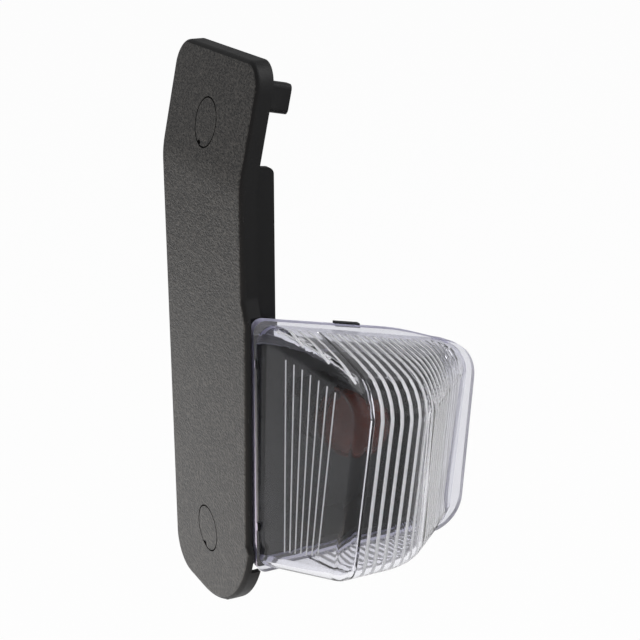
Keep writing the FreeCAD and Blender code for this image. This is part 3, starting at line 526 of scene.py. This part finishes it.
@dataclass
class RoofFlutes:
    """Short flutes under the left of the lens's roof, which end at the border of the left wall."""

    first_mm: float = 1.9
    pitch_mm: float = 3.8
    count: int = 4
    half_base_mm: float = 0.5
    height_mm: float = 0.5
    start_mm: float = -41.0
    step_mm: float = 2.0
    sunk_mm: float = 0.05
    # Border of the left wall: its place at the rim, and how far it goes inboard per length
    left_mm: float = 1.4
    left_slope: float = 0.3347
    # Inside of the roof: an arch along Y about a centre in Y and Z, which falls inboard
    roof_r_mm: float = 147.74
    roof_centre_mm: tuple[float, float] = (-36.0, -56.4)
    roof_left_mm: float = -4.6
    roof_fall: float = 0.2345

    def roof(self, x: float, y: float) -> float:
        """Find the height of the roof's inside.

        Args:
            x: place inboard in millimetres.
            y: place rearward in millimetres.

        Returns:
            Height in millimetres.
        """
        ahead = y - self.roof_centre_mm[0]
        arch = math.sqrt(self.roof_r_mm ** 2 - ahead ** 2)
        return self.roof_centre_mm[1] + arch - self.roof_fall * (x - self.roof_left_mm)

    def add_flute(self, body: bmesh.types.BMesh, x: float) -> None:
        """Add one ridge that hangs below the roof from the rim to the left wall's border.

        Args:
            body: mesh that gets the ridge.
            x: place of the ridge along X in millimetres.
        """
        length = (x - self.left_mm) / self.left_slope
        steps = max(2, round(length / self.step_mm))
        rings = []
        for i in range(steps + 1):
            y = self.start_mm - length * i / steps
            ring = []
            for side, drop in ((-1, -self.sunk_mm), (0, self.height_mm), (1, -self.sunk_mm)):
                place = x + side * self.half_base_mm
                z = self.roof(place, y) - drop
                ring.append(body.verts.new((place * MM, y * MM, z * MM)))
            rings.append(ring)
        for before, after in zip(rings, rings[1:]):
            for i in range(len(before)):
                j = (i + 1) % len(before)
                body.faces.new((before[i], before[j], after[j], after[i]))
        body.faces.new(rings[0])
        body.faces.new(rings[-1])

    def dress(self, material: bpy.types.Material) -> None:
        """Build the ridges in matt white acrylic, a painted highlight.

        Args:
            material: finish of the ridges.
        """
        body = bmesh.new()
        for i in range(self.count):
            self.add_flute(body, self.first_mm + i * self.pitch_mm)
        bmesh.ops.recalc_face_normals(body, faces=body.faces)
        mesh = bpy.data.meshes.new("roof flutes")
        body.to_mesh(mesh)
        body.free()
        mesh.materials.append(material)
        piece = place_object("lens_roof_flutes", mesh)
        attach(piece, ROOT_BODY)
        LOG.info("built lens_roof_flutes, %d faces", len(mesh.polygons))


@dataclass
class LensSet:
    """Clear lens with flutes inside, painted matt white as a highlight, and the rubber seals."""

    sharp_deg: float = 18.0
    middle_mm: tuple[float, float, float] = (30.0, -55.0, 42.0)
    crest_deg: tuple[float, float] = (60.0, 130.0)
    patch_deg: float = 14.0
    # The flute at the front corner stays clear: its range along X, and how it leans with height
    corner_mm: tuple[float, float] = (14.0, 18.2)
    slant: float = 0.041
    slant_mm: float = 72.0
    rim_mm: float = -38.1
    rim_limit: float = 0.3
    left_mm: float = -3.0

    def flute_faces(self, mesh: bpy.types.Mesh) -> set[int]:
        """Find the faces of the flutes, which meet at sharp crests inside the lens.

        Args:
            mesh: mesh of the lens.

        Returns:
            Numbers of the faces.
        """
        body = bmesh.new()
        body.from_mesh(mesh)
        middle = Vector(self.middle_mm) * MM
        low, high = (math.radians(value) for value in self.crest_deg)
        found = set()
        for edge in body.edges:
            if len(edge.link_faces) != 2 or not low < edge.calc_face_angle_signed() < high:
                continue
            inside = all(
                face.normal.dot(middle - face.calc_center_median()) > 0
                for face in edge.link_faces
            )
            place = edge.verts[0].co / MM
            along = place.x - self.slant * (place.z - self.slant_mm)
            at_corner = self.corner_mm[0] < along < self.corner_mm[1]
            if inside and place.y < self.rim_mm and place.x > self.left_mm and not at_corner:
                found.update(edge.link_faces)
        waiting = list(found)
        while waiting:
            face = waiting.pop()
            for edge in face.edges:
                if edge.calc_face_angle(math.pi) > math.radians(self.patch_deg):
                    continue
                fresh = set(edge.link_faces) - found
                found.update(fresh)
                waiting.extend(fresh)
        numbers = {face.index for face in found}
        body.free()
        return numbers

    def dress(self) -> None:
        """Dress the lens in acrylic, with flutes painted matt white as highlights and a painted
        reflection veil on the rim, and the seals in rubber.
        """
        lens = smooth_copy("lens", ClearAcrylic().build(), self.sharp_deg)
        # Painted highlight: the flutes are matt white where clear flutes would show refracted light
        painted_flute_white = ClearAcrylic("acrylic flutes painted white", WHITE, roughness=0.5, transmission=0.1).build()
        # Painted reflection: the rim is pale and half matt, standing in for the veil of white
        # surroundings reflected near the rim
        rim = ClearAcrylic("acrylic rim painted veil", "cfcde8", roughness=0.3, transmission=0.5).build()
        flange = ClearAcrylic("acrylic flange", "ececf2", roughness=0.08, transmission=0.88).build()
        for finish in (painted_flute_white, rim, flange):
            lens.data.materials.append(finish)
        RoofFlutes().dress(painted_flute_white)
        flutes = self.flute_faces(lens.data)
        for face in lens.data.polygons:
            at_rim = face.center.y > self.rim_mm * MM
            kind = LensFace.FLANGE if at_rim else LensFace.CLEAR
            if face.index in flutes:
                kind = LensFace.FLUTE
            # The rim's side walls take the painted reflection veil
            elif at_rim and abs(face.normal.y) < self.rim_limit:
                kind = LensFace.RIM_VEIL
            face.material_index = kind.value
        LOG.info("lens has %d flute faces of %d", len(flutes), len(lens.data.polygons))
        rubber = SmoothPlastic("black seal rubber", "161616", roughness=0.75).build()
        smooth_copy("lens_gasket", rubber, self.sharp_deg)
        smooth_copy("holder_seal", rubber, self.sharp_deg)


@dataclass
class HousingScrews:
    """Row of pan-head screws behind the bracket's flange, made from one screw by nodes."""

    count: int = 3
    first_mm: tuple[float, float, float] = (-0.8, -30.0, 14.0)
    pitch_mm: float = 33.0
    head_r_mm: float = 4.0
    head_thick_mm: float = 2.2
    crown_mm: float = 0.6
    crown_steps: int = 5
    wall_share: float = 0.8
    shank_r_mm: float = 1.4
    shank_mm: float = 3.6
    tip_mm: float = 0.5
    tip_share: float = 0.7
    cross_mm: float = 2.2
    cross_half_mm: float = 0.45
    cross_depth_mm: float = 1.3
    turns: int = 48
    sharp_deg: float = 30.0

    def one_screw(self) -> bpy.types.Mesh:
        """Turn one screw with a domed head and a cross recess, its seat at the origin.

        Returns:
            Mesh of the screw along Y, with the head to the rear.
        """
        wall = (self.head_thick_mm - self.crown_mm) * self.wall_share
        profile = [
            (0.0, -self.shank_mm),
            (self.shank_r_mm * self.tip_share, -self.shank_mm),
            (self.shank_r_mm, -self.shank_mm + self.tip_mm),
            (self.shank_r_mm, 0.0),
            (self.head_r_mm, 0.0),
            (self.head_r_mm, wall),
        ]
        for step in range(1, self.crown_steps + 1):
            angle = math.radians(90 * step / self.crown_steps)
            across = self.head_r_mm * math.cos(angle)
            profile.append((across, wall + (self.head_thick_mm - wall) * math.sin(angle)))
        screw = bmesh.new()
        points = [screw.verts.new((x * MM, y * MM, 0.0)) for x, y in profile]
        edges = [screw.edges.new(pair) for pair in zip(points, points[1:])]
        bmesh.ops.spin(
            screw, geom=points + edges, cent=(0, 0, 0), axis=(0, 1, 0), angle=math.tau,
            steps=self.turns, use_merge=True,
        )
        bmesh.ops.remove_doubles(screw, verts=screw.verts, dist=MERGE_MM * MM)
        bmesh.ops.recalc_face_normals(screw, faces=screw.faces)
        self.sink_cross(screw)
        mesh = bpy.data.meshes.new("pan head screw")
        screw.to_mesh(mesh)
        screw.free()
        mesh.shade_smooth()
        mesh.set_sharp_from_angle(angle=math.radians(self.sharp_deg))
        return mesh

    def sink_cross(self, screw: bmesh.types.BMesh) -> None:
        """Press the points of the crown that lie in the cross down to its floor.

        Args:
            screw: mesh of the screw.
        """
        for vert in screw.verts:
            across = abs(vert.co.x) / MM
            along = abs(vert.co.z) / MM
            narrow = min(across, along) < self.cross_half_mm
            near = narrow and max(across, along) < self.cross_mm
            if near and vert.co.y > (self.head_thick_mm - self.crown_mm) * MM:
                vert.co.y = (self.head_thick_mm - self.cross_depth_mm) * MM

    def row_tree(self) -> bpy.types.NodeTree:
        """Build the nodes that set the incoming screw along a row.

        Returns:
            Node group with inputs for the count, the first place, the step and the material.
        """
        tree = bpy.data.node_groups.new("row of screws", "GeometryNodeTree")
        face = tree.interface
        face.new_socket("Screw", in_out="INPUT", socket_type="NodeSocketGeometry")
        face.new_socket("Count", in_out="INPUT", socket_type="NodeSocketInt")
        face.new_socket("First place", in_out="INPUT", socket_type="NodeSocketVector")
        face.new_socket("Step", in_out="INPUT", socket_type="NodeSocketVector")
        face.new_socket("Metal", in_out="INPUT", socket_type="NodeSocketMaterial")
        face.new_socket("Row", in_out="OUTPUT", socket_type="NodeSocketGeometry")
        start = add_node(tree, "NodeGroupInput")
        line = add_node(
            tree, "GeometryNodeMeshLine",
            {"Count": start.outputs["Count"], "Start Location": start.outputs["First place"],
             "Offset": start.outputs["Step"]},
            mode="OFFSET",
        )
        row = add_node(
            tree, "GeometryNodeInstanceOnPoints",
            {"Points": line.outputs[0], "Instance": start.outputs["Screw"]},
        )
        real = add_node(tree, "GeometryNodeRealizeInstances", {0: row.outputs[0]})
        metal = add_node(
            tree, "GeometryNodeSetMaterial",
            {"Geometry": real.outputs[0], "Material": start.outputs["Metal"]},
        )
        add_node(tree, "NodeGroupOutput", {"Row": metal.outputs[0]})
        return tree

    def dress(self) -> None:
        """Build the row of screws in zinc plated steel."""
        zinc = PlatedMetal("zinc plated steel", "c9c8c0", roughness=0.32).build()
        piece = place_object("housing_screws_dressed", self.one_screw())
        nodes = piece.modifiers.new("row of screws", "NODES")
        tree = self.row_tree()
        values = {
            "Count": self.count,
            "First place": [value * MM for value in self.first_mm],
            "Step": [0.0, 0.0, self.pitch_mm * MM],
            "Metal": zinc,
        }
        nodes.node_group = tree
        for item in tree.interface.items_tree:
            if item.name in values:
                nodes[item.identifier] = values[item.name]
        make_plain(piece)
        stand_in(piece, "housing_screws")


@dataclass
class LensClip:
    """Slim clip hooked over the top edge of the lens's frame, with eased edges."""

    ends_mm: tuple[tuple[float, float], ...] = ((27.0, 87.68), (37.0, 85.49))
    front_mm: float = -35.4
    back_mm: float = -33.3
    leg_mm: float = 1.0
    thick_mm: float = 0.7
    hook_mm: float = 1.0
    eased_mm: float = 0.2
    eased_steps: int = 3
    eased_round: float = 0.5

    def dress(self, material: bpy.types.Material) -> None:
        """Build the clip as an angle drawn along the sloping edge.

        Args:
            material: finish of the clip.
        """
        inner = self.back_mm - self.leg_mm
        profile = [
            (self.front_mm, 0.0), (self.front_mm, self.thick_mm), (self.back_mm, self.thick_mm),
            (self.back_mm, -self.hook_mm), (inner, -self.hook_mm), (inner, 0.0),
        ]
        clip = bmesh.new()
        rings = []
        for x, edge_z in self.ends_mm:
            rings.append([
                clip.verts.new((x * MM, y * MM, (edge_z + z) * MM)) for y, z in profile
            ])
        clip.faces.new(rings[0])
        clip.faces.new(reversed(rings[1]))
        for i in range(len(profile)):
            j = (i + 1) % len(profile)
            clip.faces.new((rings[0][i], rings[1][i], rings[1][j], rings[0][j]))
        bmesh.ops.recalc_face_normals(clip, faces=clip.faces)
        bmesh.ops.bevel(
            clip, geom=list(clip.edges), offset=self.eased_mm * MM, segments=self.eased_steps,
            profile=self.eased_round, affect="EDGES",
        )
        mesh = bpy.data.meshes.new("lens clip")
        clip.to_mesh(mesh)
        clip.free()
        mesh.materials.append(material)
        piece = place_object("lens_clip_dressed", mesh)
        stand_in(piece, "lens_clip")


@dataclass
class HousingSet:
    """Black housing, the clip on the lens and the screws that hold the housing to the bracket."""

    sharp_deg: float = 25.0

    def dress(self) -> None:
        """Dress the housing and the clip in black plastic and set the screws."""
        black = SmoothPlastic(
            "black housing plastic", "171717", roughness=0.5, specular=0.25,
        ).build()
        gloss = SmoothPlastic(
            "black clip plastic", "101010", roughness=0.35, specular=0.25,
        ).build()
        smooth_copy("lamp_housing", black, self.sharp_deg)
        LensClip().dress(gloss)
        HousingScrews().dress()


@dataclass
class BulbSet:
    """Bulb, its holder and the contacts."""

    sharp_deg: float = 30.0

    def dress(self) -> None:
        """Dress the holder, the sleeve, the bulb and the terminals."""
        holder = SmoothPlastic("black nylon holder", "232324", roughness=0.5).build()
        sleeve = PlatedMetal("plated steel sleeve", "c4c4c4").build()
        nickel = PlatedMetal("nickel plated brass", "cfcbbd", roughness=0.2).build()
        tin = PlatedMetal("tinned brass", "d2c8a4", roughness=0.3).build()
        solder = PlatedMetal("lead-free solder", "b9b9b7", roughness=0.4).build()
        insulator = SmoothPlastic("black glass insulator", "0e0e0f", roughness=0.15).build()
        finishes = {
            "bulb_holder": (holder, Slot.HOLDER),
            "socket_shell": (sleeve, Slot.SHELL),
            "bulb_glass": (AmberGlass().build(), Slot.BULB),
            "bulb_cap": (nickel, Slot.CAP_METAL),
            "bulb_insulator": (insulator, Slot.INSULATOR),
            "bulb_contact": (solder, Slot.SOLDER),
            "live_terminal": (tin, Slot.TERMINAL),
            "earth_terminal": (tin, Slot.TERMINAL),
        }
        for node, (finish, slot) in finishes.items():
            smooth_copy(node, finish, self.sharp_deg)


@dataclass(frozen=True)
class SoftLamp:
    """Square area lamp: its name, place and side in metres, power and sRGB colour.

    One that is not mirrored lights the object but leaves no image of itself in the lens.
    """

    name: str
    place_m: tuple[float, float, float]
    side_m: float
    watts: float
    colour: str = WHITE
    mirrored: bool = True


LAMPS = (
    SoftLamp("key", (0.0, -1.4, 0.8), 2.2, 9.0),
    SoftLamp("top", (0.3, -0.3, 1.4), 1.2, 12.0),
    SoftLamp("side", (1.4, -0.8, 0.6), 1.6, 7.0),
    SoftLamp("low", (-0.32, -0.05, -0.09), 0.2, 2.6, "fff1e2", mirrored=False),
)


@dataclass
class Studio:
    """White floor, soft lamps and the camera at the photograph's place."""

    # Camera
    aim_mm: tuple[float, float, float] = (21.0, -35.5, 90.0)
    azimuth_deg: float = -26.7
    elevation_deg: float = 19.0
    distance_mm: float = 528.9
    lens_mm: float = 85.0
    sensor_mm: float = 36.0
    clip_start_mm: float = 10.0
    # Floor: the share of plain white leaves room for the shadow, and glossy rays see a painted pool
    # of light on it, brightest about the sweep's middle and dim from near to far
    floor_drop_mm: float = 110.0
    floor_half_mm: float = 12000.0
    paper: str = "c4c4c4"
    seen_share: float = 0.97
    floor_through: float = 1.0
    sweep_mm: tuple[float, float] = (-130.0, 330.0)
    near_mm: float = 220.0
    far_mm: float = 560.0
    near_share: float = 0.95
    far_share: float = 0.15
    # Room: strength of its fill light, and what glossy and transmission rays see of its white
    room: float = 0.28
    horizon: float = 0.12
    horizon_gloss: float = 0.3
    seen_through: float = 0.45

    def build(self) -> None:
        """Build the whole studio."""
        self.build_floor()
        self.build_world()
        for lamp in LAMPS:
            self.hang(lamp)
        self.build_camera()

    def seen_white(
        self,
        tree: bpy.types.NodeTree,
        glossy: bpy.types.NodeSocket,
        clear: bpy.types.NodeSocket | float,
    ) -> bpy.types.Node:
        """Join the light path outputs that should see plain white.

        Args:
            tree: node tree of the floor or the world.
            glossy: share of the white that glossy rays see.
            clear: share of the white that transmission rays see.

        Returns:
            Node whose output is 1 for camera rays and the shares for the other two.
        """
        path = add_node(tree, "ShaderNodeLightPath")
        mirrored = add_node(
            tree, "ShaderNodeMath", {0: path.outputs["Is Glossy Ray"], 1: glossy},
            operation="MULTIPLY",
        )
        through = add_node(
            tree, "ShaderNodeMath", {0: path.outputs["Is Transmission Ray"], 1: clear},
            operation="MULTIPLY",
        )
        either = add_node(
            tree, "ShaderNodeMath", {0: mirrored.outputs[0], 1: through.outputs[0]},
            operation="MAXIMUM",
        )
        return add_node(
            tree, "ShaderNodeMath", {0: path.outputs["Is Camera Ray"], 1: either.outputs[0]},
            operation="MAXIMUM",
        )

    def build_floor(self) -> None:
        """Lay a wide pale floor below the lamp, with a painted pool of light that reflections see
        brightest behind it.
        """
        half = self.floor_half_mm * MM
        low = CAD_BOX[0][2] - self.floor_drop_mm * MM
        corners = [(-half, -half, low), (half, -half, low), (half, half, low), (-half, half, low)]
        mesh = bpy.data.meshes.new("floor")
        mesh.from_pydata(corners, [], [(0, 1, 2, 3)])
        material, tree = new_material("white paper floor")
        place = add_node(tree, "ShaderNodeTexCoord")
        middle = (self.sweep_mm[0] * MM, self.sweep_mm[1] * MM, low)
        away = add_node(
            tree, "ShaderNodeVectorMath", {0: place.outputs["Object"], 1: middle},
            operation="DISTANCE",
        )
        # Painted pool of light: glossy rays see less of the floor's white away from the sweep's
        # middle
        painted_floor_pool = add_node(
            tree, "ShaderNodeMapRange",
            {0: away.outputs["Value"], 1: self.near_mm * MM, 2: self.far_mm * MM,
             3: self.near_share, 4: self.far_share},
        )
        white = self.seen_white(tree, painted_floor_pool.outputs[0], self.floor_through)
        share = add_node(
            tree, "ShaderNodeMath", {0: white.outputs[0], 1: self.seen_share},
            operation="MULTIPLY",
        )
        paper = add_node(tree, "ShaderNodeBsdfDiffuse", {"Color": linear(self.paper)})
        glow = add_node(tree, "ShaderNodeEmission", {"Color": linear(WHITE), "Strength": 1.0})
        mixed = add_node(
            tree, "ShaderNodeMixShader",
            {0: share.outputs[0], 1: paper.outputs[0], 2: glow.outputs[0]},
        )
        close_material(tree, mixed)
        mesh.materials.append(material)
        floor = place_object("floor", mesh)

    def build_world(self) -> None:
        """Give the room a soft fill light that whitens down to the horizon."""
        world = bpy.data.worlds.new("studio")
        world.use_nodes = True
        tree = world.node_tree
        tree.nodes.clear()
        place = add_node(tree, "ShaderNodeTexCoord")
        parts = add_node(tree, "ShaderNodeSeparateXYZ", {0: place.outputs["Generated"]})
        low = add_node(
            tree, "ShaderNodeMapRange",
            {0: parts.outputs["Z"], 1: 0.0, 2: self.horizon, 3: 1.0, 4: 0.0},
        )
        gloss = add_node(
            tree, "ShaderNodeMath", {0: low.outputs[0], 1: self.horizon_gloss},
            operation="MULTIPLY",
        )
        through = add_node(
            tree, "ShaderNodeMath", {0: low.outputs[0], 1: self.seen_through},
            operation="MAXIMUM",
        )
        white = self.seen_white(tree, gloss.outputs[0], through.outputs[0])
        fill = add_node(
            tree, "ShaderNodeBackground", {"Color": linear(WHITE), "Strength": self.room},
        )
        plain = add_node(tree, "ShaderNodeBackground", {"Color": linear(WHITE), "Strength": 1.0})
        mixed = add_node(
            tree, "ShaderNodeMixShader",
            {0: white.outputs[0], 1: fill.outputs[0], 2: plain.outputs[0]},
        )
        add_node(tree, "ShaderNodeOutputWorld", {"Surface": mixed.outputs[0]})
        bpy.context.scene.world = world

    def hang(self, lamp: SoftLamp) -> None:
        """Hang one lamp that faces the object.

        Args:
            lamp: what is hung, and where.
        """
        data = bpy.data.lights.new(lamp.name, "AREA")
        data.size = lamp.side_m
        data.energy = lamp.watts
        data.color = linear(lamp.colour)[:3]
        hung = place_object(lamp.name, data)
        hung.location = lamp.place_m
        aim = Vector(self.aim_mm) * MM
        hung.rotation_euler = (aim - hung.location).to_track_quat("-Z", "Y").to_euler()
        hung.visible_camera = False
        hung.visible_glossy = lamp.mirrored
        hung.visible_transmission = lamp.mirrored

    def build_camera(self) -> None:
        """Set the camera where the photograph was taken from."""
        data = bpy.data.cameras.new("camera")
        data.lens = self.lens_mm
        data.sensor_width = self.sensor_mm
        data.clip_start = self.clip_start_mm * MM
        camera = place_object("camera", data)
        azimuth = math.radians(self.azimuth_deg)
        elevation = math.radians(self.elevation_deg)
        away = Vector((
            math.sin(azimuth) * math.cos(elevation),
            -math.cos(azimuth) * math.cos(elevation),
            math.sin(elevation),
        ))
        aim = Vector(self.aim_mm) * MM
        camera.location = aim + away * (self.distance_mm * MM)
        camera.rotation_euler = (-away).to_track_quat("-Z", "Y").to_euler()
        bpy.context.scene.camera = camera


def main() -> None:
    """Dress the lamp and set up the studio."""
    logging.basicConfig(level=logging.INFO)
    bpy.context.scene.view_settings.view_transform = "Standard"
    BracketSet().dress()
    HousingSet().dress()
    LensSet().dress()
    BulbSet().dress()
    Studio().build()


if __name__ == "__main__":
    main()
